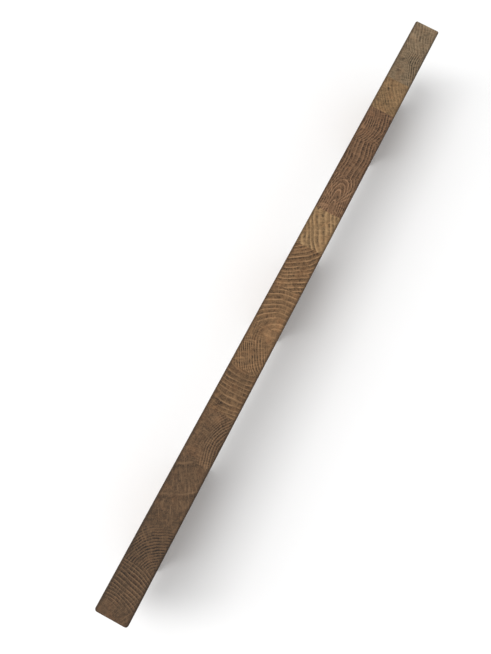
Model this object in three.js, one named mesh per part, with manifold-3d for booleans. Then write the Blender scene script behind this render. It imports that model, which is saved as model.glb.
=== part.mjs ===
// A straight wooden grab rail for a boat, standing on three feet.
//
// The rail is a strip crosscut from an edge-glued hardwood board, so its top shows the end grain of
// fifteen blocks in a row and the grain of each block runs down through the rail's depth. A stainless
// flat bar let into the underside carries the bending load. Each foot is bolted up through the flat
// bar into the blocks, and takes one deck bolt from below.
//
// Millimetres. +X along the rail, +Z away from the deck, origin on the deck under the rail's middle.

import * as THREE from "three";
import { mergeVertices } from "three/addons/utils/BufferGeometryUtils.js";
import Module from "manifold-3d";

const wasm = await Module();
wasm.setup();

// ---- Driving dimensions --------------------------------------------------------------------------

// Rail
const BLOCK_LENGTHS = [40, 42, 42, 44, 41, 43, 40, 46, 42, 44, 46, 42, 43, 44, 42];
const RAIL_WIDTH = 27;
const RAIL_DEPTH = 40;
const RAIL_CORNER_RADIUS = 2.2;
const EDGE_ROUND = 1;
const GLUE_LINE = 0.2;

// Feet and the pads they are bedded on
const PAD_THICKNESS = 2;
const GRIP_GAP = 40;
const FOOT_CENTRES = [-236.5, 0, 236.5];
const FOOT_NAMES = ["left", "middle", "right"];
const FOOT_LENGTH = 96;
const FOOT_WIDTH = 25;
const FOOT_LAND = 3;
const FOOT_HOLLOW = 13;
const FOOT_EDGE_ROUND = 0.8;
const PAD_INSET = 0.5;
const PAD_CORNER_RADIUS = 1.5;

// Flat bar in the underside of the rail
const STIFFENER_LENGTH = 624;
const STIFFENER_WIDTH = 16;
const STIFFENER_THICKNESS = 4;
const GROOVE_CLEARANCE = 0.2;

// M6 socket-head bolts that hold each foot, with their washers and threaded inserts
const BOLT_OFFSET = 23;
const BOLT_RADIUS = 2.9;
const BOLT_LENGTH = 50;
const BOLT_HEAD_RADIUS = 5;
const BOLT_HEAD_HEIGHT = 6;
const BOLT_HEAD_CHAMFER = 0.4;
const BOLT_TIP_CHAMFER = 0.8;
const BOLT_SOCKET_FLATS = 5;
const BOLT_SOCKET_DEPTH = 3;
const BOLT_HOLE_RADIUS = 3.3;
const COUNTERBORE_RADIUS = 6.2;
const COUNTERBORE_DEPTH = 9;
const WASHER_RADIUS = 5.8;
const WASHER_THICKNESS = 1.6;
const BOLT_INSERT_RADIUS = 4.25;
const BOLT_INSERT_LENGTH = 13;
const BOLT_INSERT_BORE = 3.15;
const BOLT_INSERT_SETBACK = 0.3;
const BOLT_HOLE_SPARE = 1.5;

// M8 threaded insert in the base of each foot, for the deck bolt
const DECK_INSERT_RADIUS = 6;
const DECK_INSERT_LENGTH = 16;
const DECK_INSERT_BORE = 3.6;
const DECK_INSERT_CHAMFER = 0.8;

// Countersunk wood screws that hold the flat bar to the blocks that no bolt reaches
const SCREW_HEAD_RADIUS = 4;
const SCREW_HEAD_HEIGHT = 2.2;
const SCREW_HEAD_RIM = 0.2;
const SCREW_SHANK_RADIUS = 1.8;
const SCREW_LENGTH = 25;
const SCREW_POINT = 3.5;
const SCREW_DRIVE_RADIUS = 1.9;
const SCREW_DRIVE_INNER = 1.35;
const SCREW_DRIVE_DEPTH = 1.5;
const SCREW_DRIVE_LOBES = 6;

// Gap that every fastener keeps to the hole it sits in
const FASTENER_CLEARANCE = 0.25;

// How far a cutting shape runs past the face that it opens
const THROUGH = 1;

// Fineness of the round shapes
const ROUND_SEGMENTS = 16;
const ARC_SEGMENTS = 6;
const EDGE_SEGMENTS = 2;
const MERGE_DISTANCE = 1e-4;

// ---- Places worked out from them -----------------------------------------------------------------

const RAIL_LENGTH = BLOCK_LENGTHS.reduce((sum, length) => sum + length, 0);
const FOOT_BASE_Z = PAD_THICKNESS;
const RAIL_BASE_Z = PAD_THICKNESS + GRIP_GAP;
const GROOVE_DEPTH = STIFFENER_THICKNESS + GROOVE_CLEARANCE;
const GROOVE_TOP_Z = RAIL_BASE_Z + GROOVE_DEPTH;
const WASHER_Z = FOOT_BASE_Z + COUNTERBORE_DEPTH - WASHER_THICKNESS;
const BOLT_X = FOOT_CENTRES.flatMap((x) => [x - BOLT_OFFSET, x + BOLT_OFFSET]);
const BOLT_CUTS = [-BOLT_OFFSET, BOLT_OFFSET].map((x) => [x, 0, -THROUGH]);
const DECK_CUT = [[0, 0, -THROUGH]];

const BLOCKS = [];
for (const length of BLOCK_LENGTHS) {
  const start = BLOCKS.length ? BLOCKS.at(-1).end : -RAIL_LENGTH / 2;
  BLOCKS.push({ start, end: start + length });
}
const SCREW_X = BLOCKS.filter(({ start, end }) => !BOLT_X.some((x) => x > start && x < end)).map(
  ({ start, end }) => (start + end) / 2,
);

// ---- Materials -----------------------------------------------------------------------------------

const wood = (color) => new THREE.MeshStandardMaterial({ color, roughness: 0.62, metalness: 0 });
const DARK_WOOD = wood(0x5c4733);
const BROWN_WOOD = wood(0x79593d);
const PALE_WOOD = wood(0x8b7052);
const BLOCK_WOODS = BLOCKS.map((_, i) => (i < 4 ? DARK_WOOD : i === 8 || i > 11 ? PALE_WOOD : BROWN_WOOD));
const STAINLESS = new THREE.MeshStandardMaterial({ color: 0xb9bab8, roughness: 0.35, metalness: 1 });
const BRASS = new THREE.MeshStandardMaterial({ color: 0xb8924a, roughness: 0.4, metalness: 1 });
const BLACK_RUBBER = new THREE.MeshStandardMaterial({ color: 0x1c1c1d, roughness: 0.85, metalness: 0 });

// ---- Solids --------------------------------------------------------------------------------------

// A closed three.js geometry as a solid that can be cut and joined.
function solidFrom(geometry) {
  const bare = geometry.index ? geometry.toNonIndexed() : geometry.clone();
  bare.deleteAttribute("normal");
  bare.deleteAttribute("uv");
  const merged = mergeVertices(bare, MERGE_DISTANCE);
  return new wasm.Manifold(
    new wasm.Mesh({
      numProp: 3,
      vertProperties: new Float32Array(merged.attributes.position.array),
      triVerts: new Uint32Array(merged.index.array),
    }),
  );
}

function geometryFrom(solid) {
  const { numProp, numVert, vertProperties, triVerts } = solid.getMesh();
  const positions = new Float32Array(numVert * 3);
  for (let i = 0; i < numVert; i++) {
    positions.set(vertProperties.subarray(i * numProp, i * numProp + 3), i * 3);
  }
  const geometry = new THREE.BufferGeometry();
  geometry.setAttribute("position", new THREE.BufferAttribute(positions, 3));
  geometry.setIndex(new THREE.BufferAttribute(new Uint32Array(triVerts), 1));
  geometry.computeVertexNormals();
  return geometry;
}

function meshOf(name, solid, material, position = [0, 0, 0]) {
  const mesh = new THREE.Mesh(geometryFrom(solid), material);
  mesh.name = name;
  mesh.position.set(...position);
  return mesh;
}

// An outline in the XY plane, pushed up along Z from z = 0.
function pushedUp(shape, height, bevel = 0) {
  const geometry = new THREE.ExtrudeGeometry(shape, {
    depth: height - 2 * bevel,
    curveSegments: ARC_SEGMENTS,
    bevelEnabled: bevel > 0,
    bevelThickness: bevel,
    bevelSize: bevel,
    bevelOffset: -bevel,
    bevelSegments: EDGE_SEGMENTS,
  });
  return solidFrom(geometry.translate(0, 0, bevel));
}

// A profile of [radius, height] pairs, bottom axis point first, turned about Z.
function turned(profile) {
  const points = profile.map(([radius, height]) => new THREE.Vector2(radius, height));
  return solidFrom(new THREE.LatheGeometry(points, ROUND_SEGMENTS).rotateX(Math.PI / 2));
}

function cylinder(radius, height) {
  return turned([[0, 0], [radius, 0], [radius, height], [0, height]]);
}

function ring(outer, inner, height) {
  return turned([[inner, 0], [outer, 0], [outer, height], [inner, height], [inner, 0]]);
}

function roundedRectangle(length, width, radius) {
  const shape = new THREE.Shape();
  const x = length / 2;
  const y = width / 2;
  shape.moveTo(-x + radius, -y);
  shape.lineTo(x - radius, -y);
  shape.absarc(x - radius, -y + radius, radius, -Math.PI / 2, 0, false);
  shape.lineTo(x, y - radius);
  shape.absarc(x - radius, y - radius, radius, 0, Math.PI / 2, false);
  shape.lineTo(-x + radius, y);
  shape.absarc(-x + radius, y - radius, radius, Math.PI / 2, Math.PI, false);
  shape.lineTo(-x, -y + radius);
  shape.absarc(-x + radius, -y + radius, radius, Math.PI, 1.5 * Math.PI, false);
  return shape;
}

// A bar's outline with half-round ends.
function roundEnded(length, width) {
  const shape = new THREE.Shape();
  const radius = width / 2;
  const x = length / 2 - radius;
  shape.absarc(x, 0, radius, -Math.PI / 2, Math.PI / 2, false);
  shape.absarc(-x, 0, radius, Math.PI / 2, 1.5 * Math.PI, false);
  return shape;
}

function starOf(points, outer, inner) {
  const shape = new THREE.Shape();
  for (let i = 0; i < 2 * points; i++) {
    const angle = (i * Math.PI) / points;
    const radius = i % 2 ? inner : outer;
    shape[i ? "lineTo" : "moveTo"](radius * Math.cos(angle), radius * Math.sin(angle));
  }
  shape.closePath();
  return shape;
}

function hexagon(acrossFlats) {
  const radius = acrossFlats / Math.sqrt(3);
  return starOf(3, radius, radius);
}

const drilledAt = (solid, tool, places) =>
  places.reduce((cut, place) => cut.subtract(tool.translate(place)), solid);

// ---- Rail: one crosscut strip, grooved, drilled, then parted at its glue lines -------------------

function railStrip() {
  const outline = roundedRectangle(RAIL_LENGTH, RAIL_WIDTH, RAIL_CORNER_RADIUS);
  const strip = pushedUp(outline, RAIL_DEPTH, EDGE_ROUND).translate([0, 0, RAIL_BASE_Z]);
  const grooveWidth = STIFFENER_WIDTH + 2 * GROOVE_CLEARANCE;
  const grooveLength = STIFFENER_LENGTH + 2 * GROOVE_CLEARANCE;
  const grooveTool = pushedUp(roundEnded(grooveLength, grooveWidth), GROOVE_DEPTH + THROUGH);
  const grooved = strip.subtract(grooveTool.translate([0, 0, RAIL_BASE_Z - THROUGH]));
  const insertHoleDepth = BOLT_INSERT_LENGTH + BOLT_HOLE_SPARE;
  const insertHole = cylinder(BOLT_INSERT_RADIUS + FASTENER_CLEARANCE, insertHoleDepth + THROUGH);
  const screwHole = cylinder(SCREW_SHANK_RADIUS + FASTENER_CLEARANCE, SCREW_LENGTH);
  const tapped = drilledAt(grooved, insertHole, BOLT_X.map((x) => [x, 0, GROOVE_TOP_Z - THROUGH]));
  return drilledAt(tapped, screwHole, SCREW_X.map((x) => [x, 0, RAIL_BASE_Z + THROUGH]));
}

function endGrainBlocks() {
  const strip = railStrip();
  return BLOCKS.map(({ start, end }, i) => {
    const first = i === 0 ? start - THROUGH : start + GLUE_LINE / 2;
    const last = i === BLOCKS.length - 1 ? end + THROUGH : end - GLUE_LINE / 2;
    const slab = new THREE.BoxGeometry(last - first, RAIL_WIDTH + 2 * THROUGH, RAIL_DEPTH + 2 * THROUGH);
    slab.translate((first + last) / 2, 0, RAIL_BASE_Z + RAIL_DEPTH / 2);
    const name = `end_grain_block_${String(i + 1).padStart(2, "0")}`;
    return meshOf(name, strip.intersect(solidFrom(slab)), BLOCK_WOODS[i]);
  });
}

// ---- Flat bar and its screws ---------------------------------------------------------------------

function stiffenerBar() {
  const bar = pushedUp(roundEnded(STIFFENER_LENGTH, STIFFENER_WIDTH), STIFFENER_THICKNESS);
  const rim = SCREW_HEAD_RADIUS + FASTENER_CLEARANCE;
  const waist = SCREW_SHANK_RADIUS + FASTENER_CLEARANCE;
  const countersink = turned([
    [0, -THROUGH],
    [rim, -THROUGH],
    [rim, SCREW_HEAD_RIM],
    [waist, SCREW_HEAD_HEIGHT + SCREW_HEAD_RIM],
    [waist, STIFFENER_THICKNESS + THROUGH],
    [0, STIFFENER_THICKNESS + THROUGH],
  ]);
  const boltHole = cylinder(BOLT_HOLE_RADIUS, STIFFENER_THICKNESS + 2 * THROUGH);
  const sunk = drilledAt(bar, countersink, SCREW_X.map((x) => [x, 0, 0]));
  const drilled = drilledAt(sunk, boltHole, BOLT_X.map((x) => [x, 0, -THROUGH]));
  return meshOf("stiffener_bar", drilled, STAINLESS, [0, 0, RAIL_BASE_Z]);
}

function stiffenerScrews() {
  const body = turned([
    [0, 0],
    [SCREW_HEAD_RADIUS, 0],
    [SCREW_HEAD_RADIUS, SCREW_HEAD_RIM],
    [SCREW_SHANK_RADIUS, SCREW_HEAD_HEIGHT],
    [SCREW_SHANK_RADIUS, SCREW_LENGTH - SCREW_POINT],
    [0, SCREW_LENGTH],
  ]);
  const driveOutline = starOf(SCREW_DRIVE_LOBES, SCREW_DRIVE_RADIUS, SCREW_DRIVE_INNER);
  const drive = pushedUp(driveOutline, SCREW_DRIVE_DEPTH + THROUGH);
  const screw = body.subtract(drive.translate([0, 0, -THROUGH]));
  return SCREW_X.map((x, i) => meshOf(`stiffener_screw_${i + 1}`, screw, STAINLESS, [x, 0, RAIL_BASE_Z]));
}

// ---- Feet ----------------------------------------------------------------------------------------

// The foot's side view in the XZ plane: a spool with hollow ends and square lands top and bottom.
function footOutline() {
  const half = FOOT_LENGTH / 2;
  const chord = GRIP_GAP - 2 * FOOT_LAND;
  const radius = ((chord / 2) ** 2 + FOOT_HOLLOW ** 2) / (2 * FOOT_HOLLOW);
  const sweep = Math.asin(chord / 2 / radius);
  const centreX = half - FOOT_HOLLOW + radius;
  const middleZ = GRIP_GAP / 2;
  const shape = new THREE.Shape();
  shape.moveTo(-half, 0);
  shape.lineTo(half, 0);
  shape.lineTo(half, FOOT_LAND);
  shape.absarc(centreX, middleZ, radius, Math.PI + sweep, Math.PI - sweep, true);
  shape.lineTo(half, GRIP_GAP);
  shape.lineTo(-half, GRIP_GAP);
  shape.lineTo(-half, GRIP_GAP - FOOT_LAND);
  shape.absarc(-centreX, middleZ, radius, sweep, -sweep, true);
  shape.closePath();
  return shape;
}

function footSolid() {
  const blank = new THREE.ExtrudeGeometry(footOutline(), {
    depth: FOOT_WIDTH - 2 * FOOT_EDGE_ROUND,
    curveSegments: ARC_SEGMENTS,
    bevelEnabled: true,
    bevelThickness: FOOT_EDGE_ROUND,
    bevelSize: FOOT_EDGE_ROUND,
    bevelOffset: -FOOT_EDGE_ROUND,
    bevelSegments: 1,
  });
  blank.rotateX(Math.PI / 2).translate(0, FOOT_WIDTH / 2 - FOOT_EDGE_ROUND, 0);
  const boltHole = cylinder(BOLT_HOLE_RADIUS, GRIP_GAP + 2 * THROUGH);
  const counterbore = cylinder(COUNTERBORE_RADIUS, COUNTERBORE_DEPTH + THROUGH);
  const insertRadius = DECK_INSERT_RADIUS + FASTENER_CLEARANCE;
  const deckHole = cylinder(insertRadius, DECK_INSERT_LENGTH + FASTENER_CLEARANCE + THROUGH);
  const bored = drilledAt(solidFrom(blank), boltHole, BOLT_CUTS);
  return drilledAt(drilledAt(bored, counterbore, BOLT_CUTS), deckHole, DECK_CUT);
}

function padSolid() {
  const length = FOOT_LENGTH - 2 * PAD_INSET;
  const width = FOOT_WIDTH - 2 * PAD_INSET;
  const pad = pushedUp(roundedRectangle(length, width, PAD_CORNER_RADIUS), PAD_THICKNESS);
  const boltHole = cylinder(COUNTERBORE_RADIUS, PAD_THICKNESS + 2 * THROUGH);
  const deckHole = cylinder(DECK_INSERT_BORE + DECK_INSERT_CHAMFER, PAD_THICKNESS + 2 * THROUGH);
  return drilledAt(drilledAt(pad, boltHole, BOLT_CUTS), deckHole, DECK_CUT);
}

function deckInsertSolid() {
  return turned([
    [DECK_INSERT_BORE + DECK_INSERT_CHAMFER, 0],
    [DECK_INSERT_RADIUS, 0],
    [DECK_INSERT_RADIUS, DECK_INSERT_LENGTH],
    [DECK_INSERT_BORE, DECK_INSERT_LENGTH],
    [DECK_INSERT_BORE, DECK_INSERT_CHAMFER],
    [DECK_INSERT_BORE + DECK_INSERT_CHAMFER, 0],
  ]);
}

function footBoltSolid() {
  const tip = BOLT_HEAD_HEIGHT + BOLT_LENGTH;
  const body = turned([
    [0, 0],
    [BOLT_HEAD_RADIUS - BOLT_HEAD_CHAMFER, 0],
    [BOLT_HEAD_RADIUS, BOLT_HEAD_CHAMFER],
    [BOLT_HEAD_RADIUS, BOLT_HEAD_HEIGHT],
    [BOLT_RADIUS, BOLT_HEAD_HEIGHT],
    [BOLT_RADIUS, tip - BOLT_TIP_CHAMFER],
    [BOLT_RADIUS - BOLT_TIP_CHAMFER, tip],
    [0, tip],
  ]);
  const socket = pushedUp(hexagon(BOLT_SOCKET_FLATS), BOLT_SOCKET_DEPTH + THROUGH);
  return body.subtract(socket.translate([0, 0, -THROUGH]));
}

function footAssembly(index) {
  const side = FOOT_NAMES[index];
  const group = new THREE.Group();
  group.position.x = FOOT_CENTRES[index];
  group.add(meshOf(`foot_${side}`, footSolid(), BROWN_WOOD, [0, 0, FOOT_BASE_Z]));
  group.add(meshOf(`bedding_pad_${side}`, padSolid(), BLACK_RUBBER));
  group.add(meshOf(`deck_insert_${side}`, deckInsertSolid(), BRASS, [0, 0, FOOT_BASE_Z]));
  const washer = ring(WASHER_RADIUS, BOLT_HOLE_RADIUS, WASHER_THICKNESS);
  const insert = ring(BOLT_INSERT_RADIUS, BOLT_INSERT_BORE, BOLT_INSERT_LENGTH);
  for (const [end, x] of [["a", -BOLT_OFFSET], ["b", BOLT_OFFSET]]) {
    const boltZ = WASHER_Z - BOLT_HEAD_HEIGHT;
    group.add(meshOf(`foot_bolt_${side}_${end}`, footBoltSolid(), STAINLESS, [x, 0, boltZ]));
    group.add(meshOf(`foot_washer_${side}_${end}`, washer, STAINLESS, [x, 0, WASHER_Z]));
    const insertZ = GROOVE_TOP_Z + BOLT_INSERT_SETBACK;
    group.add(meshOf(`bolt_insert_${side}_${end}`, insert, BRASS, [x, 0, insertZ]));
  }
  return group;
}

// ---- Assembly ------------------------------------------------------------------------------------

const grabRail = new THREE.Group();
grabRail.add(...endGrainBlocks());
grabRail.add(stiffenerBar());
grabRail.add(...stiffenerScrews());
FOOT_CENTRES.forEach((_, index) => grabRail.add(footAssembly(index)));

export default grabRail;
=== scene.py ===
"""A wooden grab rail on three feet, seen from nearly straight above on a white floor.

The rail is a row of fifteen end-grain blocks. Each block has its own tree: the place of its pith, the
width of its rings and its tone. The same ring formula carves the block's top and colours its wood.
"""

import math

import bmesh
import bpy
import numpy as np
from mathutils import Matrix, Vector


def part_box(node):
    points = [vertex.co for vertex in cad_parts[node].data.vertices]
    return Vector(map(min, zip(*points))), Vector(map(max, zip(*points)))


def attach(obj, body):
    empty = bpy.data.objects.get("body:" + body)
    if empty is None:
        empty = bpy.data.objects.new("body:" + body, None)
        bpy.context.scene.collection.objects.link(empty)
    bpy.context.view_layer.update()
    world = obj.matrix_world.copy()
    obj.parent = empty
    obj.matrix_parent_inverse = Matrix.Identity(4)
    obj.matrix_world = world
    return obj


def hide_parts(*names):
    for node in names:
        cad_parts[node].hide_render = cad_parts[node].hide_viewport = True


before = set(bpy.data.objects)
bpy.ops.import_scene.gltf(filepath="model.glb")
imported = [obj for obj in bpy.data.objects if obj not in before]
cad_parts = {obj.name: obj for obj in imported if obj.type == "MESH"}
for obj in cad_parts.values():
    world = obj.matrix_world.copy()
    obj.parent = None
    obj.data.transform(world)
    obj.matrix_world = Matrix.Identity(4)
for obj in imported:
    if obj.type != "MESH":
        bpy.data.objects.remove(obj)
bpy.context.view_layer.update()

MM = 0.001
BODY = "root"
TAU = 2 * math.pi

# ---- Places read from the frame ------------------------------------------------------------------

BLOCK_NODES = [f"end_grain_block_{i:02d}" for i in range(1, 16)]
BLOCK_BOXES = [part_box(node) for node in BLOCK_NODES]
RAIL_START = BLOCK_BOXES[0][0][0] / MM
RAIL_END = BLOCK_BOXES[-1][1][0] / MM
RAIL_HALF_WIDTH = BLOCK_BOXES[0][1][1] / MM
RAIL_BASE = BLOCK_BOXES[0][0][2] / MM
RAIL_TOP = BLOCK_BOXES[0][1][2] / MM
JOINTS = [(a[1][0] + b[0][0]) / 2 / MM for a, b in zip(BLOCK_BOXES, BLOCK_BOXES[1:])]
BLOCK_SPANS = list(zip([RAIL_START, *JOINTS], [*JOINTS, RAIL_END]))


def nodes_named(start):
    return sorted(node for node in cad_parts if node.startswith(start))


def middle_x(node):
    low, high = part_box(node)
    return (low[0] + high[0]) / 2 / MM


def half_size(node):
    """Half a node's size along X and along Y."""
    low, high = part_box(node)
    return (high[0] - low[0]) / 2 / MM, (high[1] - low[1]) / 2 / MM


def span_z(node):
    low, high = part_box(node)
    return low[2] / MM, high[2] / MM


BOLTS = nodes_named("foot_bolt_")
SCREWS = nodes_named("stiffener_screw_")
BOLT_X = [middle_x(node) for node in BOLTS]
SCREW_X = [middle_x(node) for node in SCREWS]
SIDES = ("left", "middle", "right")
BOLT_OFFSET = (BOLT_X[1] - BOLT_X[0]) / 2


# ---- Sizes that the nodes' boxes don't give, in mm -------------------------------------------------

CLEARANCE = 0.25
# How far the shape that cuts a hole runs past the surface that it cuts.
OVERSHOOT = 1
INSERT_HOLE_SPARE = 0.8

# The rail's arrises, and its corners seen from above.
ARRIS = 1.0
PLAN_RADIUS = 2.2
JOINT_EASE = 0.06
CARVED_DEPTH = 0.05
GROOVE_CLEARANCE = 0.2
GROOVE_END_CLEARANCE = 0.6

# A profile is pairs of [height from the edge it shapes, how far the side stands in there].
FOOT_LAND = 3.0
FOOT_HOLLOW = 13.0
FOOT_CORNER = 1.6
FOOT_EDGE = 0.8
FOOT_EDGE_PROFILE = ((0, FOOT_EDGE), (0.1, 0.42), (0.3, 0.18), (FOOT_EDGE, 0.0))
FOOT_LIP_PROFILE = ((-FOOT_EDGE, 0.0), (-0.2, 0.25))
FOOT_EDGE_ZONE = 1
COUNTERBORE = 6.2
COUNTERBORE_DEPTH = 9.0
BOLT_HOLE = 3.3
BOLT_HEAD_HEIGHT = 6.0
BOLT_SHANK = 2.9
BOLT_SOCKET = 5 / math.sqrt(3)
BOLT_SOCKET_DEPTH = 3.0
BOLT_SOCKET_TIP = 1.0
BOLT_KNURLS = 60
BOLT_KNURL_DEPTH = 0.14
BOLT_PLAIN_SHANK = 20
BOLT_THREAD_DEPTH = 0.55
BOLT_PITCH = 1.0
DECK_BORE = 3.6
DECK_CHAMFER = 0.8
DECK_PITCH = 1.25
DECK_OUTER_THREAD = 0.8
INSERT_BORE = 3.15
INSERT_CHAMFER = 0.4
INSERT_OUTER_THREAD = 0.55
INSERT_OUTER_PITCH = 2.0
INSERT_INNER_THREAD = 0.32
INSERT_SLOT = 1.3
WASHER_EDGE = 0.2
SCREW_SHANK = 1.8
SCREW_HEAD_HEIGHT = 2.2
SCREW_HEAD_PROFILE = ((0, 0.15), (0.12, 0), (0.25, 0))
SCREW_NECK = SCREW_SHANK * 0.8
SCREW_NECK_LENGTH = 3.5
SCREW_CORE = SCREW_SHANK * 0.68
SCREW_PITCH = 1.8
SCREW_DRIVE = 1.9
SCREW_DRIVE_DEPTH = 1.5
SCREW_DRIVE_TIP = 0.4
SCREW_POINT = 3.5
COUNTERSINK_RIM = 0.2
PAD_CORNER = 2.7
BAR_EDGE_PROFILE = ((0, 0.4), (0.1, 0.1), (0.4, 0))


# ---- How finely the meshes are made ----------------------------------------------------------------

SAME_POINT = 0.001 * MM
MESH_STEP = 0.4
ARRIS_STEPS = 5
CORNER_POINTS = 9
SIDE_POINTS = 19
LAND_POINTS = 4
GROOVE_POINTS = 7
HOLLOW_POINTS = 41
ROUND = 48


# ---- Grain ---------------------------------------------------------------------------------------


class Grain:
    """How one block was cut from its tree. Lengths in mm, along X and across Y from the block's middle."""

    def __init__(self, pith, rings, tone, **more):
        self.pith = pith
        self.rings = rings
        self.tone = tone
        self.shade = more.get("shade", 1.0)
        self.line = more.get("line", 0.5)
        self.dark = more.get("dark", 0.3)
        self.sharp = more.get("sharp", 8)
        self.rays = more.get("rays", 0.25)
        self.stretch = more.get("stretch", 1.0)
        self.clear = more.get("clear")
        self.ticks = more.get("ticks", 0.0)
        self.marks = more.get("marks", [])
        self.seed = 0.0


# Five woods, as sRGB. A block takes one of them, a little lighter or darker.
DARK = (95, 72, 50)
BROWN = (125, 95, 65)
RUSSET = (120, 90, 65)
GOLDEN = (145, 115, 80)
GREYED = (130, 110, 85)

GRAINS = [
    Grain((-48, 12), 2.5, DARK, line=0.7, dark=0.5, clear=(-1, 0, 9), ticks=0.5),
    Grain((-26, -20), 2.0, DARK, line=0.5, dark=0.8, clear=(0.9, 0.4, 7)),
    Grain((60, 35), 24.0, DARK, shade=1.1, line=0.4, sharp=24, rays=0.4),
    Grain(
        (-6, -45), 2.0, DARK, shade=1.3, line=0.5, dark=0.6, clear=(0, 1, 0), ticks=0.5,
        marks=[(16, 1, 4, 0.5)],
    ),
    Grain((46, 0), 4.0, BROWN, shade=0.8, line=0.7, dark=0.2, marks=[(-13, 6, 5, -0.3)]),
    Grain(
        (20, -46), 2.0, BROWN, line=0.7, dark=0.4, clear=(0.6, -0.8, 8), ticks=0.4,
        marks=[(14, -5, 7, 0.3)],
    ),
    Grain((-30, -12), 4.5, BROWN, line=0.7, dark=0.2, marks=[(-16, -7, 6, 0.3)]),
    Grain((54, 38), 4.0, BROWN, line=0.8, dark=0.4, marks=[(20, -6, 1, -0.8)]),
    Grain((54, -110), 4.5, GOLDEN, line=0.4, dark=0.4, sharp=2),
    Grain((-14, 0), 2.0, RUSSET, line=0.8, dark=0.3, stretch=4.0, rays=0.5, ticks=0.6),
    Grain((-4, 150), 3.5, RUSSET, line=0.5, dark=0.5, ticks=0.6),
    Grain((0, 48), 2.5, RUSSET, line=0.5, dark=0.6, ticks=0.6, marks=[(-6, 10, 3, 0.7)]),
    Grain((40, -65), 3.0, GOLDEN, shade=0.9, line=0.3, dark=0.3, marks=[(8, 5, 2, -0.5)]),
    Grain(
        (20, -95), 2.0, GREYED, line=0.5, dark=0.7, clear=(-0.3, 0.9, 0),
        marks=[(-8, 5, 2, -0.4), (7, 7, 3, -0.3)],
    ),
    Grain((40, -120), 3.0, GREYED, line=0.4, dark=0.3, marks=[(-1, 9, 5, 0.5), (20, 0, 5, 0.4)]),
]
SEED_STEP = 1.7
for index, grain in enumerate(GRAINS):
    grain.seed = index * SEED_STEP

# The slow waves that make rings wander: turns per mm along X and Y, phase, and depth in mm.
WANDER = ((0.031, 0.019, 0.4, 0.45), (-0.017, 0.046, 1.9, 0.30), (0.088, -0.075, 2.7, 0.12))
# The slow change in ring width: turns per mm of distance, and depth in rings.
RING_DRIFT = (0.045, 0.22)
# How far the trunk leans, in mm along X and Y for each mm of height.
LEAN = (0.04, 0.03)


def ring_distance(grain, x, y):
    """Distance from the pith at a point of the block's top, with the wander that trees have."""
    along = (x - grain.pith[0]) / grain.stretch
    distance = np.sqrt(along**2 + (y - grain.pith[1]) ** 2)
    for turns_x, turns_y, phase, depth in WANDER:
        wave = np.sin(TAU * (turns_x * x + turns_y * y) + phase + grain.seed)
        distance = distance + depth * wave
    return distance


def ring_lines(grain, x, y):
    """1 on the crest of each ring's line and 0 between rings."""
    distance = ring_distance(grain, x, y)
    turns = distance / grain.rings + RING_DRIFT[1] * np.sin(TAU * RING_DRIFT[0] * distance + grain.seed)
    return (0.5 + 0.5 * np.cos(TAU * turns)) ** grain.sharp


# ---- Materials -----------------------------------------------------------------------------------


def linear(srgb):
    """An sRGB colour out of 255 as the linear colour that a shader takes."""
    return [(c / 255 / 12.92) if c <= 10 else ((c / 255 + 0.055) / 1.055) ** 2.4 for c in srgb]


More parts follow.
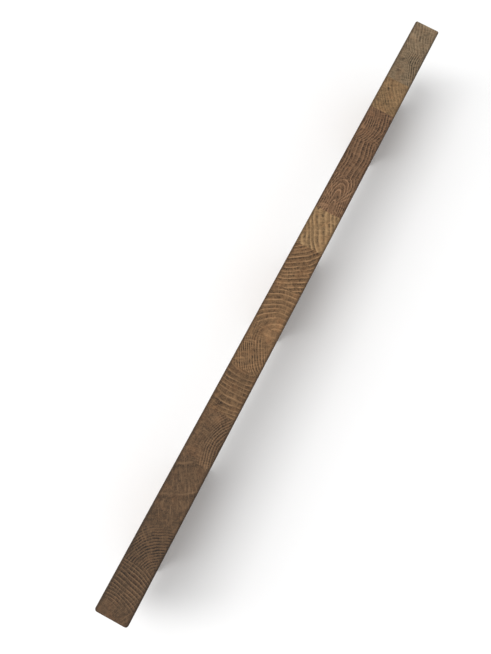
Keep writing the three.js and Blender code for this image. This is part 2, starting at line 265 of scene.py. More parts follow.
class Shader:
    """A material's nodes. Every call returns a socket that the next call can take."""

    def __init__(self, name):
        self.material = bpy.data.materials.new(name)
        self.material.use_nodes = True
        self.tree = self.material.node_tree
        self.surface = self.tree.nodes["Principled BSDF"]

    def plug(self, socket, value):
        if isinstance(value, bpy.types.NodeSocket):
            self.tree.links.new(value, socket)
        elif value is not None:
            socket.default_value = value

    def node(self, kind, *values, **settings):
        made = self.tree.nodes.new(kind)
        for key, value in settings.items():
            setattr(made, key, value)
        for socket, value in zip(made.inputs, values):
            self.plug(socket, value)
        return made

    def math(self, operation, *values, clamp=False):
        return self.node("ShaderNodeMath", *values, operation=operation, use_clamp=clamp).outputs[0]

    def vector(self, operation, *values):
        made = self.node("ShaderNodeVectorMath", *values, operation=operation)
        return made.outputs["Value" if operation in ("DOT_PRODUCT", "LENGTH") else "Vector"]

    def scaled(self, vector, *scale):
        return self.vector("MULTIPLY", vector, scale)

    def millimetres(self):
        """The place of a point in the row frame, in mm."""
        return self.scaled(self.node("ShaderNodeTexCoord").outputs["Object"], 1000, 1000, 1000)

    def times(self, colour, factor):
        made = self.node("ShaderNodeVectorMath", colour, operation="SCALE")
        self.plug(made.inputs["Scale"], factor)
        return made.outputs["Vector"]

    def noise(self, vector, scale=1.0, detail=2.0, roughness=0.5):
        made = self.node("ShaderNodeTexNoise")
        self.plug(made.inputs["Vector"], vector)
        made.inputs["Scale"].default_value = scale
        made.inputs["Detail"].default_value = detail
        made.inputs["Roughness"].default_value = roughness
        return made.outputs["Fac"]

    def cells(self, vector, scale=1.0):
        made = self.node("ShaderNodeTexVoronoi", feature="F1")
        self.plug(made.inputs["Vector"], vector)
        made.inputs["Scale"].default_value = scale
        return made.outputs["Distance"]

    def step(self, value, start, end, low=0.0, high=1.0):
        """low below start, high above end, smooth between. start may be the larger."""
        made = self.node("ShaderNodeMapRange", interpolation_type="SMOOTHSTEP")
        keys = ("Value", "From Min", "From Max", "To Min", "To Max")
        for key, given in zip(keys, (value, start, end, low, high)):
            self.plug(made.inputs[key], given)
        return made.outputs["Result"]

    def mix(self, factor, first, second, blend="MIX"):
        made = self.node("ShaderNodeMix", data_type="RGBA", blend_type=blend)
        made.clamp_factor = True
        for key, given in zip((0, 6, 7), (factor, first, second)):
            plain = isinstance(given, (float, bpy.types.NodeSocket))
            self.plug(made.inputs[key], given if plain else (*given, 1.0))
        return made.outputs[2]

    def bump(self, height, depth, strength=1.0):
        made = self.node("ShaderNodeBump")
        made.inputs["Strength"].default_value = strength
        made.inputs["Distance"].default_value = depth
        self.plug(made.inputs["Height"], height)
        self.plug(self.surface.inputs["Normal"], made.outputs["Normal"])


def shade(colour, factor):
    return [min(1.0, channel * factor) for channel in colour]


# The bare wood is deeper than it looks once light glances off its surface.
WOOD_DEPTH = 0.75
TICK_SPACING = 2.0
DARKEST = 0.12
# Where the foot's tree had its pith, across and up from the foot's middle, and its ring width.
FOOT_PITH = (-9.0, 38.0)
FOOT_RINGS = 2.6
FOOT_DARKEST = 0.15


def end_grain(name, grain, span):
    """Wood whose grain runs along Z: rings and pores on top, long streaks down the sides."""
    s = Shader(name)
    tone = [channel * WOOD_DEPTH * grain.shade for channel in linear(grain.tone)]
    middle = ((span[0] + span[1]) / 2, 0, RAIL_TOP)
    local = s.vector("SUBTRACT", s.millimetres(), middle)
    x, y, z = s.node("ShaderNodeSeparateXYZ", local).outputs
    x = s.math("MULTIPLY_ADD", z, -LEAN[0], x)
    y = s.math("MULTIPLY_ADD", z, -LEAN[1], y)
    flat = s.node("ShaderNodeCombineXYZ", x, y, s.math("MULTIPLY", z, 0.02)).outputs[0]
    flat = s.vector("ADD", flat, (0, 0, grain.seed * 10))

    # Distance from the pith, with the same wander as the carved top.
    along = s.math("DIVIDE", s.math("SUBTRACT", x, grain.pith[0]), grain.stretch)
    across = s.math("SUBTRACT", y, grain.pith[1])
    square = s.math("MULTIPLY_ADD", along, along, s.math("MULTIPLY", across, across))
    distance = s.math("SQRT", square)
    for turns_x, turns_y, phase, depth in WANDER:
        angle = s.math("MULTIPLY_ADD", x, TAU * turns_x, phase + grain.seed)
        angle = s.math("MULTIPLY_ADD", y, TAU * turns_y, angle)
        distance = s.math("MULTIPLY_ADD", s.math("SINE", angle), depth, distance)
    ragged = s.math("SUBTRACT", s.noise(flat, 0.9, 3), 0.5)
    ragged_distance = s.math("MULTIPLY_ADD", ragged, 0.9, distance)
    drift = s.math("SINE", s.math("MULTIPLY_ADD", ragged_distance, TAU * RING_DRIFT[0], grain.seed))
    turns = s.math("DIVIDE", ragged_distance, grain.rings)
    turns = s.math("MULTIPLY_ADD", drift, RING_DRIFT[1], turns)
    crest = s.math("COSINE", s.math("MULTIPLY", turns, TAU))
    crest = s.math("MULTIPLY_ADD", crest, 0.5, 0.5)
    line = s.math("POWER", crest, grain.sharp)

    # Stretches of a block where its rings don't show.
    patchy = s.step(s.noise(flat, 0.11, 2), 0.35, 0.6, 0.35, 1.0)
    if grain.clear:
        side = s.vector("DOT_PRODUCT", local, (grain.clear[0], grain.clear[1], 0))
        shown = s.step(side, grain.clear[2] + 4, grain.clear[2] - 4, 0.1, 1.0)
        patchy = s.math("MULTIPLY", patchy, shown)

    # Rays run out from the pith, straight across the rings.
    bearing = s.math("ARCTAN2", across, along)
    reach = max(12.0, math.hypot(grain.pith[0] / grain.stretch, grain.pith[1]))
    fan = s.node(
        "ShaderNodeCombineXYZ",
        s.math("MULTIPLY", bearing, reach * 1.1),
        s.math("MULTIPLY", distance, 0.09),
        s.math("MULTIPLY", z, 0.01),
    ).outputs[0]
    rays = s.step(s.noise(s.vector("ADD", fan, (0, 0, grain.seed)), 1.0, 1), 0.56, 0.70)

    # Pores crowd into the band beside each ring line.
    band = s.math("COSINE", s.math("MULTIPLY", s.math("SUBTRACT", turns, 0.3), TAU))
    band = s.math("POWER", s.math("MULTIPLY_ADD", band, 0.5, 0.5), 2.0)
    pore_size = s.math("MULTIPLY_ADD", band, 0.22, 0.06)
    pores = s.step(s.math("SUBTRACT", s.cells(flat, 1.9), pore_size), 0.08, -0.06)

    broad = s.math("SUBTRACT", s.noise(flat, 0.06, 3, 0.6), 0.5)
    mottle = s.math("SUBTRACT", s.noise(flat, 0.38, 3, 0.65), 0.5)
    speckle = s.math("SUBTRACT", s.noise(flat, 1.5, 3, 0.7), 0.5)
    level = s.math("MULTIPLY_ADD", broad, 1.1, 1.0)
    level = s.math("MULTIPLY_ADD", mottle, s.step(z, -4, -0.5, 1.0, 2.0), level)
    fibres = s.math("SUBTRACT", s.noise(s.scaled(local, 2.2, 2.2, 0.12), 1.0, 3, 0.6), 0.5)
    level = s.math("MULTIPLY_ADD", fibres, 0.9, level)
    level = s.math("MULTIPLY_ADD", speckle, 2.2, level)
    level = s.math("MULTIPLY_ADD", s.math("MULTIPLY", band, patchy), -grain.dark, level)
    level = s.math("MULTIPLY_ADD", pores, -0.3, level)
    if grain.ticks:
        # Short dark ticks across the rings, TICK_SPACING apart, where pores line up along the rays.
        tick = s.math("COSINE", s.math("MULTIPLY", bearing, TAU * reach / TICK_SPACING))
        tick = s.math("POWER", s.math("MULTIPLY_ADD", tick, 0.5, 0.5), 3.0)
        level = s.math("MULTIPLY_ADD", s.math("MULTIPLY", tick, patchy), -0.5 * grain.ticks, level)
    for mark_x, mark_y, radius, strength in grain.marks:
        # A pale patch (strength above 0) or a dark knot (below 0), with a ragged edge.
        off_x = s.math("SUBTRACT", x, mark_x)
        off_y = s.math("SUBTRACT", y, mark_y)
        away = s.vector("LENGTH", s.node("ShaderNodeCombineXYZ", off_x, off_y).outputs[0])
        away = s.math("MULTIPLY_ADD", mottle, 0.8 * radius, away)
        near_top = s.step(z, -12, -1, 0.2, 1)
        mark = s.step(away, radius * 1.3, radius * 0.3, 0, strength)
        level = s.math("MULTIPLY_ADD", mark, near_top, level)
    colour = s.times(tone, s.math("MAXIMUM", level, DARKEST))
    redder = [tone[0] * 1.15, tone[1] * 0.92, tone[2] * 0.78]
    redness = s.step(s.noise(flat, 0.13, 2), 0.45, 0.7, 0, 0.3)
    colour = s.mix(redness, colour, s.times(redder, s.math("MAXIMUM", level, DARKEST)))
    pale = [tone[0] * 2.6, tone[1] * 2.7, tone[2] * 2.8]
    colour = s.mix(s.math("MULTIPLY", line, s.math("MULTIPLY", patchy, grain.line)), colour, pale)
    colour = s.mix(s.math("MULTIPLY", rays, grain.rays), colour, pale)

    # The long arrises get painted shade over the wood's colour.
    s.plug(s.surface.inputs["Base Color"], arris_painted_shade(s, colour, tone))
    s.plug(s.surface.inputs["Roughness"], s.math("MULTIPLY_ADD", speckle, 0.5, 0.62, clamp=True))
    s.surface.inputs["Specular IOR Level"].default_value = 0.25
    relief = s.math("MULTIPLY_ADD", line, 0.25, s.math("MULTIPLY", speckle, 0.6))
    relief = s.math("MULTIPLY_ADD", pores, -0.8, relief)
    s.bump(relief, 0.15 * MM, 0.6)
    return s.material


def arris_painted_shade(s, colour, tone):
    """Paints shade along the rail's long arrises: the colour darkens towards each rounded edge, with a
    ragged margin.
    """
    place = s.millimetres()
    x, y, z = s.node("ShaderNodeSeparateXYZ", place).outputs
    out_y = s.math("SUBTRACT", RAIL_HALF_WIDTH, s.math("ABSOLUTE", y))
    down = s.math("SUBTRACT", RAIL_TOP, z)
    off = s.math("SQRT", s.math("MULTIPLY_ADD", out_y, out_y, s.math("MULTIPLY", down, down)))
    off = s.math("MULTIPLY_ADD", s.noise(place, 0.35, 3), 0.8, off)
    # Painted shade: near the edges the colour is mixed towards a dark copy of the tone.
    return s.mix(s.step(off, 3.4, 0.8, 0, 0.8), colour, shade(tone, 0.4))


def foot_wood(side, x, z):
    """Wood whose grain runs along X: long fine lines on the flanks and rings on the ends."""
    s = Shader(f"foot_wood_{side}")
    tone = [channel * WOOD_DEPTH for channel in linear(BROWN)]
    local = s.vector("SUBTRACT", s.millimetres(), (x, 0, z))
    along, across, up = s.node("ShaderNodeSeparateXYZ", local).outputs
    slow = s.vector("ADD", s.scaled(local, 0.06, 1, 1), (x, x, x))
    sway = s.math("SUBTRACT", s.noise(s.scaled(slow, 0.4, 0.25, 0.25), 0.6, 3), 0.5)
    out = s.math("SUBTRACT", across, FOOT_PITH[0])
    rise = s.math("SUBTRACT", up, FOOT_PITH[1])
    square = s.math("MULTIPLY_ADD", out, out, s.math("MULTIPLY", rise, rise))
    turns = s.math("DIVIDE", s.math("MULTIPLY_ADD", sway, 9.0, s.math("SQRT", square)), FOOT_RINGS)
    crest = s.math("MULTIPLY_ADD", s.math("COSINE", s.math("MULTIPLY", turns, TAU)), 0.5, 0.5)
    line = s.math("POWER", crest, 5.0)
    streak = s.math("SUBTRACT", s.noise(slow, 1.3, 4, 0.65), 0.5)
    broad = s.math("SUBTRACT", s.noise(local, 0.05, 3), 0.5)
    pores = s.step(s.cells(s.scaled(slow, 1.6, 1.8, 1.8), 1.0), 0.26, 0.12)
    level = s.math("MULTIPLY_ADD", broad, 0.7, 1.0)
    level = s.math("MULTIPLY_ADD", streak, 1.1, level)
    level = s.math("MULTIPLY_ADD", line, -0.32, level)
    level = s.math("MULTIPLY_ADD", pores, -0.42, level)
    colour = s.times(tone, s.math("MAXIMUM", level, FOOT_DARKEST))
    redder = [tone[0] * 1.08, tone[1] * 0.95, tone[2] * 0.85]
    redder = s.times(redder, s.math("MAXIMUM", level, FOOT_DARKEST))
    colour = s.mix(s.step(s.noise(local, 0.09, 2), 0.42, 0.7, 0, 0.8), colour, redder)
    s.plug(s.surface.inputs["Base Color"], colour)
    s.plug(s.surface.inputs["Roughness"], s.math("MULTIPLY_ADD", streak, 0.4, 0.52, clamp=True))
    s.surface.inputs["Specular IOR Level"].default_value = 0.35
    relief = s.math("MULTIPLY_ADD", pores, -0.8, s.math("MULTIPLY", streak, 0.5))
    s.bump(relief, 0.15 * MM, 0.6)
    return s.material


def brushed_steel():
    """Stainless flat bar: fine brush lines along X, with a few water marks."""
    s = Shader("stainless_brushed")
    place = s.millimetres()
    lines = s.math("SUBTRACT", s.noise(s.scaled(place, 0.02, 5, 5), 1.0, 4, 0.7), 0.5)
    marks = s.step(s.noise(place, 0.09, 4, 0.6), 0.52, 0.68)
    level = s.math("MULTIPLY_ADD", lines, 0.35, 0.56)
    level = s.math("MULTIPLY_ADD", marks, -0.1, level)
    colour = s.mix(marks, s.times((1.0, 0.985, 0.96), level), s.times((1.0, 0.93, 0.82), level))
    s.plug(s.surface.inputs["Base Color"], colour)
    s.surface.inputs["Metallic"].default_value = 1.0
    rough = s.math("MULTIPLY_ADD", lines, 0.3, 0.34)
    s.plug(s.surface.inputs["Roughness"], s.math("MULTIPLY_ADD", marks, 0.14, rough, clamp=True))
    s.bump(lines, 0.02 * MM, 0.7)
    return s.material


def turned_metal(name, tone, dull, tarnish):
    """Metal turned in a lathe: faint rings round Z, dulled in patches."""
    s = Shader(name)
    place = s.millimetres()
    fine = s.math("SUBTRACT", s.noise(s.scaled(place, 0.6, 0.6, 9), 1.0, 3, 0.6), 0.5)
    patches = s.step(s.noise(place, 0.35, 4, 0.65), 0.45, 0.68)
    level = s.math("MULTIPLY_ADD", fine, 0.4, 1.0)
    bright = s.times(tone, level)
    stained = s.times(dull, level)
    s.plug(s.surface.inputs["Base Color"], s.mix(s.math("MULTIPLY", patches, tarnish), bright, stained))
    s.surface.inputs["Metallic"].default_value = 1.0
    rough = s.math("MULTIPLY_ADD", fine, 0.25, 0.3)
    s.plug(s.surface.inputs["Roughness"], s.math("MULTIPLY_ADD", patches, 0.2 * tarnish, rough, clamp=True))
    s.bump(fine, 0.02 * MM, 0.6)
    return s.material


def rubber():
    """Moulded black rubber, a little dusty, with a fine grain."""
    s = Shader("rubber_moulded")
    place = s.millimetres()
    grain = s.math("SUBTRACT", s.noise(place, 3.2, 3, 0.7), 0.5)
    dust = s.step(s.noise(place, 0.16, 4, 0.65), 0.46, 0.72)
    colour = s.mix(dust, (0.011, 0.011, 0.012), (0.034, 0.032, 0.029))
    s.plug(s.surface.inputs["Base Color"], s.times(colour, s.math("MULTIPLY_ADD", grain, 0.9, 1.0)))
    s.plug(s.surface.inputs["Roughness"], s.math("MULTIPLY_ADD", dust, 0.18, 0.66))
    s.bump(grain, 0.06 * MM, 0.8)
    return s.material


# ---- Meshes --------------------------------------------------------------------------------------


def new_piece(name, points, faces, material):
    """An object whose mesh is in the row frame. points are in mm."""
    mesh = bpy.data.meshes.new(name)
    mesh.from_pydata([tuple(p) for p in np.asarray(points) * MM], [], faces)
    mesh.validate()
    clean(mesh)
    piece = bpy.data.objects.new(name, mesh)
    bpy.context.scene.collection.objects.link(piece)
    if material:
        mesh.materials.append(material)
    return piece


def clean(mesh):
    """Joins points that meet, drops faces with no area, and turns every face outwards."""
    solid = bmesh.new()
    solid.from_mesh(mesh)
    bmesh.ops.remove_doubles(solid, verts=solid.verts, dist=SAME_POINT)
    bmesh.ops.dissolve_degenerate(solid, edges=solid.edges, dist=SAME_POINT)
    bmesh.ops.recalc_face_normals(solid, faces=solid.faces)
    solid.to_mesh(mesh)
    solid.free()


def loft(rings):
    """Points and faces of the closed skin over a row of closed rings, all with as many points."""
    count = len(rings[0])
    points = np.concatenate(rings)
    faces = []
    for r in range(len(rings) - 1):
        low, high = r * count, (r + 1) * count
        faces += [(low + i, low + (i + 1) % count, high + (i + 1) % count, high + i) for i in range(count)]
    last = (len(rings) - 1) * count
    faces.append(tuple(range(count)))
    faces.append(tuple(range(last, last + count)))
    return points, faces


def smooth(piece, angle=40):
    piece.data.shade_smooth()
    piece.data.set_sharp_from_angle(angle=math.radians(angle))


GROOVE_HALF_LENGTH = half_size("stiffener_bar")[0] + GROOVE_END_CLEARANCE
GROOVE_HALF_WIDTH = half_size("stiffener_bar")[1] + GROOVE_CLEARANCE
GROOVE_TOP = span_z("stiffener_bar")[1] + GROOVE_CLEARANCE
GROOVE_DEPTH = GROOVE_TOP - RAIL_BASE


def groove_at(x):
    """Half-width and depth of the bar's groove that far along the rail. Its ends are half round."""
    past = abs(x) - (GROOVE_HALF_LENGTH - GROOVE_HALF_WIDTH)
    if past <= 0:
        return GROOVE_HALF_WIDTH, GROOVE_DEPTH
    if past >= GROOVE_HALF_WIDTH:
        return 0.1, 0.0
    return math.sqrt(GROOVE_HALF_WIDTH**2 - past**2), GROOVE_DEPTH


def rail_section(groove_half, groove_depth):
    """The rail's cross-section as [y, z], and how much of each point is top face."""
    flat = RAIL_HALF_WIDTH - ARRIS
    top_y = np.linspace(-flat, flat, round(2 * flat / MESH_STEP) + 1)
    side_z = np.linspace(RAIL_TOP - ARRIS, RAIL_BASE + ARRIS, SIDE_POINTS)[1:-1]
    land_y = np.linspace(flat, groove_half, LAND_POINTS)
    floor_y = np.linspace(groove_half, -groove_half, GROOVE_POINTS)
    turn = np.linspace(0, math.pi / 2, ARRIS_STEPS + 1)

    def corner(y, z, start):
        angles = start - turn
        return [(y + ARRIS * math.cos(a), z + ARRIS * math.sin(a)) for a in angles]

    high, low = RAIL_TOP - ARRIS, RAIL_BASE + ARRIS
    section = [(y, RAIL_TOP) for y in top_y]
    section += corner(flat, high, math.pi / 2)[1:]
    section += [(RAIL_HALF_WIDTH, z) for z in side_z]
    section += corner(flat, low, 0)
    section += [(y, RAIL_BASE) for y in land_y[1:]]
    section += [(y, RAIL_BASE + groove_depth) for y in floor_y]
    section += [(-y, RAIL_BASE) for y in land_y[:0:-1]]
    section += corner(-flat, low, -math.pi / 2)
    section += [(-RAIL_HALF_WIDTH, z) for z in side_z[::-1]]
    section += corner(-flat, high, math.pi)[:-1]
    section = np.array(section)
    return section, np.clip((section[:, 1] - high) / ARRIS, 0, 1)


def end_steps(length, radius):
    """Distances from a rounded end, close together where the end curves."""
    curve = radius * (1 - np.cos(np.linspace(0, math.pi / 2, CORNER_POINTS)))
    return np.concatenate([curve, np.arange(radius + MESH_STEP, length, MESH_STEP)])


def block_piece(index):
    """One block, carved along its rings, with rounded corners where the rail ends."""
    start, end = BLOCK_SPANS[index]
    grain = GRAINS[index]
    middle = (start + end) / 2
    xs = np.linspace(start, end, round((end - start) / MESH_STEP) + 1)
    if index == 0:
        xs = start + end_steps(end - start, PLAN_RADIUS)
        xs = np.append(xs[xs < end - MESH_STEP / 2], end)
    if index == len(BLOCK_SPANS) - 1:
        xs = (end - end_steps(end - start, PLAN_RADIUS))[::-1]
        xs = np.insert(xs[xs > start + MESH_STEP / 2], 0, start)
    centre_z = (RAIL_TOP + RAIL_BASE) / 2
    half_z = (RAIL_TOP - RAIL_BASE) / 2
    rings = []
    for x in xs:
        section, topness = rail_section(*groove_at(x))
        end_distance = min(x - RAIL_START, RAIL_END - x)
        inset_y = round_inset(end_distance, PLAN_RADIUS)
        inset_z = round_inset(end_distance, ARRIS)
        eased = JOINT_EASE if x in (xs[0], xs[-1]) else 0.0
        y = section[:, 0] * (1 - (inset_y + eased) / RAIL_HALF_WIDTH)
        z = centre_z + (section[:, 1] - centre_z) * (1 - (inset_z + eased) / half_z)
        carved = CARVED_DEPTH * (1 - ring_lines(grain, x - middle, y)) * grain.line
        ring = np.stack([np.full_like(y, x), y, z - carved * topness], axis=1)
        rings.append(ring)
    points, faces = loft(rings)
    name = BLOCK_NODES[index].replace("block", "block_carved")
    piece = new_piece(name, points, faces, BLOCK_WOODS[index])
    bored = [(node, half_size(node)[0] + CLEARANCE) for node in nodes_named("bolt_insert_")]
    bored += [(node, SCREW_SHANK + CLEARANCE) for node in SCREWS]
    for node, radius in bored:
        x = middle_x(node)
        if start < x < end:
            bore(piece, x, GROOVE_TOP - OVERSHOOT, [(radius, span_z(node)[1] + INSERT_HOLE_SPARE)])
    stand_for(piece, BLOCK_NODES[index])


def round_inset(distance, radius):
    """How far a corner of that radius stands in, that far from the end it rounds."""
    if distance >= radius:
        return 0.0
    return radius - math.sqrt(max(0.0, radius**2 - (radius - distance) ** 2))


# ---- Parts under the rail ------------------------------------------------------------------------


def circle(radius, z, count=ROUND):
    """A ring of points about Z. radius is one number, or one for each point."""
    turn = np.arange(count) * TAU / count
    return np.stack([radius * np.cos(turn), radius * np.sin(turn), np.full(count, z)], axis=1)


def rounded_rectangle(half_x, half_y, radius, z, steps=6):
    """A ring of points round a rectangle with quarter-circle corners."""
    points = []
    for quarter, (side_x, side_y) in enumerate([(1, 1), (-1, 1), (-1, -1), (1, -1)]):
        for angle in np.linspace(0, math.pi / 2, steps + 1) + quarter * math.pi / 2:
            x = side_x * (half_x - radius) + radius * math.cos(angle)
            y = side_y * (half_y - radius) + radius * math.sin(angle)
            points.append((x, y, z))
    return np.array(points)


def threaded(core, outer, pitch, start, end, count=ROUND, steps=8):
    """Rings up a screw thread: the ridge climbs one pitch for each turn."""
    turn = np.arange(count) / count
    rings = []
    for z in np.arange(start, end, pitch / steps):
        fade = min(1.0, (z - start) / pitch, (end - z) / pitch)
        phase = (z / pitch - turn) % 1.0
        ridge = 1 - np.abs(2 * phase - 1)
        rings.append(circle(core + (outer - core) * fade * ridge, z, count))
    return rings


def closed_tube(rings):
    """Points and faces of the skin over a row of rings whose last ring meets the first."""
    points, faces = loft(rings + [rings[0]])
    last = len(rings) * len(rings[0])
    wrapped = [tuple(i - last if i >= last else i for i in face) for face in faces[:-2]]
    return points[:last], wrapped


def at(rings, x):
    return [ring + (x, 0, 0) for ring in rings]


def turned(name, profile, x):
    """A solid turned about a vertical line at x. The [radius, height] pairs start and end on the line."""
    rings = [circle(radius, z) for radius, z in profile]
    return new_piece(name, *loft(at(rings, x)), None)


def cut(piece, *tools):
    """Takes the tools' shapes out of a piece, and keeps the result as its mesh."""
    for tool in tools:
        modifier = piece.modifiers.new("cut", "BOOLEAN")
        modifier.operation = "DIFFERENCE"
        modifier.solver = "EXACT"
        modifier.object = tool
    result = bpy.data.meshes.new_from_object(piece.evaluated_get(bpy.context.evaluated_depsgraph_get()))
    clean(result)
    piece.modifiers.clear()
    piece.data = result
    for tool in tools:
        bpy.data.objects.remove(tool)


def bore(piece, x, start, steps):
    """Drills up into a piece from the height start. steps are [radius, height reached], widest first."""
    profile = [(0, start)]
    low = start
    for radius, high in steps:
        profile += [(radius, low), (radius, high)]
        low = high
    cut(piece, turned("bore", profile + [(0, low + 0.3 * steps[-1][0])], x))


def stand_for(piece, node, angle=40):
    """The piece rides on the body, and is shown in place of its CAD node."""
    smooth(piece, angle)
    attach(piece, BODY)
    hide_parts(node)


def foot_piece(side):
    """A spool with hollow ends, bored for its two bolts and its deck insert."""
    node = f"foot_{side}"
    half_x, half_y = half_size(node)
    base, top = span_z(node)
    chord = top - base - 2 * FOOT_LAND
    radius = ((chord / 2) ** 2 + FOOT_HOLLOW**2) / (2 * FOOT_HOLLOW)
    rise = math.asin(chord / 2 / radius)
    middle_z = (base + top) / 2
    levels = [(base + height, inset) for height, inset in FOOT_EDGE_PROFILE]
    levels += [(base + FOOT_LAND + height, inset) for height, inset in FOOT_LIP_PROFILE]
    lower = list(levels)
    for angle in np.linspace(-rise, rise, HOLLOW_POINTS)[1:-1]:
        hollow = radius * math.cos(angle) - (radius - FOOT_HOLLOW)
        levels.append((middle_z + radius * math.sin(angle), hollow))
    levels += [(base + top - z, inset) for z, inset in reversed(lower)]
    rings = []
    for z, inset in levels:
        near_edge = z < base + FOOT_EDGE_ZONE or z > top - FOOT_EDGE_ZONE
        side_inset = min(inset, FOOT_EDGE) if near_edge else 0.0
        rings.append(rounded_rectangle(half_x - inset, half_y - side_inset, FOOT_CORNER, z))
    x = middle_x(node)
    piece = new_piece(f"{node}_shaped", *loft(at(rings, x)), foot_wood(side, x, middle_z))
    for bolt in (x - BOLT_OFFSET, x + BOLT_OFFSET):
        steps = [(COUNTERBORE, base + COUNTERBORE_DEPTH), (BOLT_HOLE, top + OVERSHOOT)]
        bore(piece, bolt, base - OVERSHOOT, steps)
    insert = f"deck_insert_{side}"
    steps = [(half_size(insert)[0] + CLEARANCE, span_z(insert)[1] + CLEARANCE)]
    bore(piece, x, base - OVERSHOOT, steps)
    stand_for(piece, node)


def pad_piece(side):
    """A moulded pad with soft edges and a sealing groove round its underside."""
    node = f"bedding_pad_{side}"
    half_x, half_y = half_size(node)
    base, top = span_z(node)
    x = middle_x(node)
    levels = [(2.6, base), (2.3, base + 0.35), (1.9, base + 0.35), (1.6, base), (0.35, base)]
    levels += [(0.1, base + 0.15), (0, base + 0.5), (0, top - 0.5), (0.1, top - 0.15), (0.35, top)]
    rings = [rounded_rectangle(half_x - inset, half_y - inset, PAD_CORNER, z) for inset, z in levels]
    piece = new_piece(f"{node}_moulded", *loft(at(rings, x)), RUBBER)
    for bolt in (x - BOLT_OFFSET, x + BOLT_OFFSET):
        bore(piece, bolt, base - OVERSHOOT, [(COUNTERBORE, top + OVERSHOOT)])
    bore(piece, x, base - OVERSHOOT, [(DECK_BORE + DECK_CHAMFER, top + OVERSHOOT)])
    stand_for(piece, node, 50)


def bar_piece():
    """The flat bar, with countersunk screw holes and plain bolt holes."""
    node = "stiffener_bar"
    half_x, half_y = half_size(node)
    base, top = span_z(node)
    levels = [(inset, base + height) for height, inset in BAR_EDGE_PROFILE]
    levels += [(inset, top - height) for height, inset in reversed(BAR_EDGE_PROFILE)]
    rings = []
    for inset, z in levels:
        rings.append(rounded_rectangle(half_x - inset, half_y - inset, half_y - inset, z, 16))
    piece = new_piece("stiffener_bar_brushed", *loft(rings), BRUSHED_STEEL)
    rim = half_size(SCREWS[0])[0] + CLEARANCE
    waist = SCREW_SHANK + CLEARANCE
    for x in SCREW_X:
        profile = [(0, base - OVERSHOOT), (rim, base - OVERSHOOT), (rim, base + COUNTERSINK_RIM)]
        profile.append((waist, base + SCREW_HEAD_HEIGHT + COUNTERSINK_RIM))
        profile += [(waist, top + OVERSHOOT), (0, top + OVERSHOOT)]
        cut(piece, turned("countersink", profile, x))
    for x in BOLT_X:
        bore(piece, x, base - OVERSHOOT, [(BOLT_HOLE, top + OVERSHOOT)])
    stand_for(piece, node, 30)


def screw_piece(node):
    """A countersunk wood screw with a six-lobe drive, a coarse thread and a gimlet point."""
    base, top = span_z(node)
    x = middle_x(node)
    head = half_size(node)[1]
    neck = base + SCREW_HEAD_HEIGHT
    rings = [circle(head - inset, base + height) for height, inset in SCREW_HEAD_PROFILE]
    rings += [circle(SCREW_NECK, neck), circle(SCREW_NECK, neck + SCREW_NECK_LENGTH)]
    point = top - SCREW_POINT
    rings += threaded(SCREW_CORE, SCREW_SHANK, SCREW_PITCH, neck + SCREW_NECK_LENGTH + 0.5, point)
    for taper, rise in ((1, 0), (0.75, 0.4), (0, 1.0)):
        rings.append(circle(SCREW_CORE * taper, point + SCREW_POINT * rise))
    piece = new_piece(f"{node}_threaded", *loft(at(rings, x)), STEEL)
    lobes = SCREW_DRIVE * (0.86 + 0.14 * np.cos(6 * np.arange(ROUND) * TAU / ROUND))
    floor = base + SCREW_DRIVE_DEPTH
    drive = [circle(lobes, base - OVERSHOOT), circle(lobes, floor), circle(0, floor + SCREW_DRIVE_TIP)]
    cut(piece, new_piece("drive", *loft(at(drive, x)), None))
    stand_for(piece, node, 35)


def bolt_piece(node):
    """A socket-head bolt: knurled head, plain shank under it and thread above."""
    base, top = span_z(node)
    x = middle_x(node)
    head = half_size(node)[1]
    count = BOLT_KNURLS
    core = BOLT_SHANK - BOLT_THREAD_DEPTH
    knurl = head - BOLT_KNURL_DEPTH * (np.arange(count) % 2)
    under = base + BOLT_HEAD_HEIGHT
    rings = [circle(head - 0.7, base, count), circle(head - 0.3, base + 0.12, count)]
    rings += [circle(head - BOLT_KNURL_DEPTH, base + 0.5, count), circle(knurl, base + 0.8, count)]
    rings += [circle(knurl, under - 0.5, count), circle(head - 0.2, under - 0.2, count)]
    rings += [circle(head - 0.4, under, count), circle(BOLT_SHANK + 0.15, under, count)]
    rings += [circle(BOLT_SHANK, under + 0.3, count), circle(BOLT_SHANK, under + BOLT_PLAIN_SHANK, count)]
    thread_start = under + BOLT_PLAIN_SHANK + 0.5
    rings += threaded(core, BOLT_SHANK, BOLT_PITCH, thread_start, top - 0.8, count, 6)
    rings += [circle(core, top - 0.6, count), circle(BOLT_SHANK - 0.9, top, count)]
    piece = new_piece(f"{node}_threaded", *loft(at(rings, x)), STEEL)
    socket = [circle(BOLT_SOCKET, z, 6) for z in (base - OVERSHOOT, base + BOLT_SOCKET_DEPTH)]
    socket.append(circle(0, base + BOLT_SOCKET_DEPTH + BOLT_SOCKET_TIP, 6))
    cut(piece, new_piece("socket", *loft(at(socket, x)), None))
    stand_for(piece, node, 35)


def washer_piece(node):
    """A flat washer with soft edges."""
    base, top = span_z(node)
    outer = half_size(node)[1]
    soft = WASHER_EDGE
    rings = [circle(outer - soft, base), circle(outer, base + soft)]
    rings += [circle(outer, top - soft), circle(outer - soft, top)]
    rings += [circle(BOLT_HOLE + soft, top), circle(BOLT_HOLE, top - soft), circle(BOLT_HOLE, base + soft)]
    rings.append(circle(BOLT_HOLE + soft, base))
    piece = new_piece(f"{node}_turned", *closed_tube(at(rings, middle_x(node))), STEEL)
    stand_for(piece, node, 25)


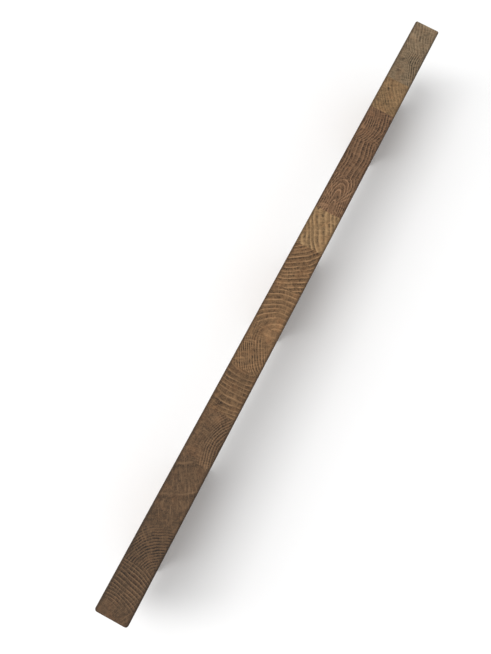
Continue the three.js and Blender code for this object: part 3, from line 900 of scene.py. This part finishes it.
def insert_piece(node, bore, pitch, depth, chamfer):
    """A brass insert with a driver slot. pitch is its inner thread's, depth its outer thread's."""
    base, top = span_z(node)
    outer = half_size(node)[1]
    x = middle_x(node)
    rings = [circle(outer - 0.3, base), circle(outer, base + 0.3), circle(outer, base + 1.4)]
    rings += threaded(outer - depth, outer, INSERT_OUTER_PITCH, base + 1.6, top - 0.6)
    rings += [circle(outer - depth, top - 0.3), circle(outer - depth - 0.2, top), circle(bore + 0.4, top)]
    inner = threaded(bore, bore + INSERT_INNER_THREAD, pitch, base + chamfer + 0.1, top - 0.4)
    rings += inner[::-1]
    rings += [circle(bore, base + chamfer), circle(bore + chamfer, base)]
    piece = new_piece(f"{node}_threaded", *closed_tube(at(rings, x)), BRASS)
    slot_heights = (base - OVERSHOOT, base + INSERT_SLOT)
    slot = [rounded_rectangle(0.6, outer + OVERSHOOT, 0.1, z, 1) for z in slot_heights]
    cut(piece, new_piece("slot", *loft(at(slot, x)), None))
    stand_for(piece, node, 35)


# ---- Build ---------------------------------------------------------------------------------------

BLOCK_WOODS = [end_grain(f"wood_{i + 1:02d}", GRAINS[i], BLOCK_SPANS[i]) for i in range(len(GRAINS))]
BRUSHED_STEEL = brushed_steel()
STEEL = turned_metal("stainless_turned", (0.60, 0.59, 0.57), (0.42, 0.37, 0.31), 0.6)
BRASS = turned_metal("brass_turned", (0.66, 0.46, 0.19), (0.32, 0.20, 0.09), 0.8)
RUBBER = rubber()

for index in range(len(BLOCK_NODES)):
    block_piece(index)
bar_piece()
for node in SCREWS:
    screw_piece(node)
for side in SIDES:
    foot_piece(side)
    pad_piece(side)
    insert_piece(f"deck_insert_{side}", DECK_BORE, DECK_PITCH, DECK_OUTER_THREAD, DECK_CHAMFER)
for node in BOLTS:
    bolt_piece(node)
for node in nodes_named("foot_washer_"):
    washer_piece(node)
for node in nodes_named("bolt_insert_"):
    insert_piece(node, INSERT_BORE, BOLT_PITCH, INSERT_OUTER_THREAD, INSERT_CHAMFER)


# ---- Stage, light and camera ---------------------------------------------------------------------

CAMERA_PLACE = Vector((-247, -7.5, RAIL_TOP + 478.5)) * MM
CAMERA_TARGET = Vector((-77.5, 16, RAIL_TOP)) * MM
CAMERA_ROLL = math.radians(20.4)
CAMERA_LENS = 33
WORLD_STRENGTH = 0.6
FLOOR_REACH = 6.0


def make_camera():
    data = bpy.data.cameras.new("camera")
    data.lens = CAMERA_LENS
    data.sensor_width = 36
    data.clip_start = 0.01
    camera = bpy.data.objects.new("camera", data)
    aim = (CAMERA_TARGET - CAMERA_PLACE).to_track_quat("-Z", "Y").to_matrix().to_4x4()
    camera.matrix_world = Matrix.Translation(CAMERA_PLACE) @ aim @ Matrix.Rotation(CAMERA_ROLL, 4, "Z")
    bpy.context.scene.collection.objects.link(camera)
    bpy.context.scene.camera = camera


def make_floor():
    s = Shader("floor")
    place = s.node("ShaderNodeTexCoord").outputs["Object"]
    white = s.mix(s.noise(place, 8, 3), (0.93, 0.93, 0.93), (0.95, 0.95, 0.95))
    s.plug(s.surface.inputs["Base Color"], white)
    s.surface.inputs["Roughness"].default_value = 0.9
    s.surface.inputs["Specular IOR Level"].default_value = 0.1
    mesh = bpy.data.meshes.new("floor")
    reach = FLOOR_REACH
    corners = [(-reach, -reach, 0), (reach, -reach, 0), (reach, reach, 0), (-reach, reach, 0)]
    mesh.from_pydata(corners, [], [(0, 1, 2, 3)])
    mesh.materials.append(s.material)
    floor = bpy.data.objects.new("floor", mesh)
    bpy.context.scene.collection.objects.link(floor)


def area_light(name, place, size, power):
    data = bpy.data.lights.new(name, "AREA")
    data.shape = "DISK"
    data.size = size
    data.energy = power
    lamp = bpy.data.objects.new(name, data)
    lamp.location = place
    lamp.rotation_euler = Vector(place).to_track_quat("Z", "Y").to_euler()
    bpy.context.scene.collection.objects.link(lamp)


def make_lights():
    world = bpy.data.worlds.new("studio")
    world.use_nodes = True
    background = world.node_tree.nodes["Background"]
    background.inputs["Color"].default_value = (1, 1, 1, 1)
    background.inputs["Strength"].default_value = WORLD_STRENGTH
    bpy.context.scene.world = world
    area_light("key", (-1.2, 2.0, 4.6), 3.6, 140)
    area_light("low_key", (-1.6, 2.8, 2.6), 1.8, 35)
    bpy.context.scene.view_settings.view_transform = "Standard"


make_camera()
make_floor()
make_lights()
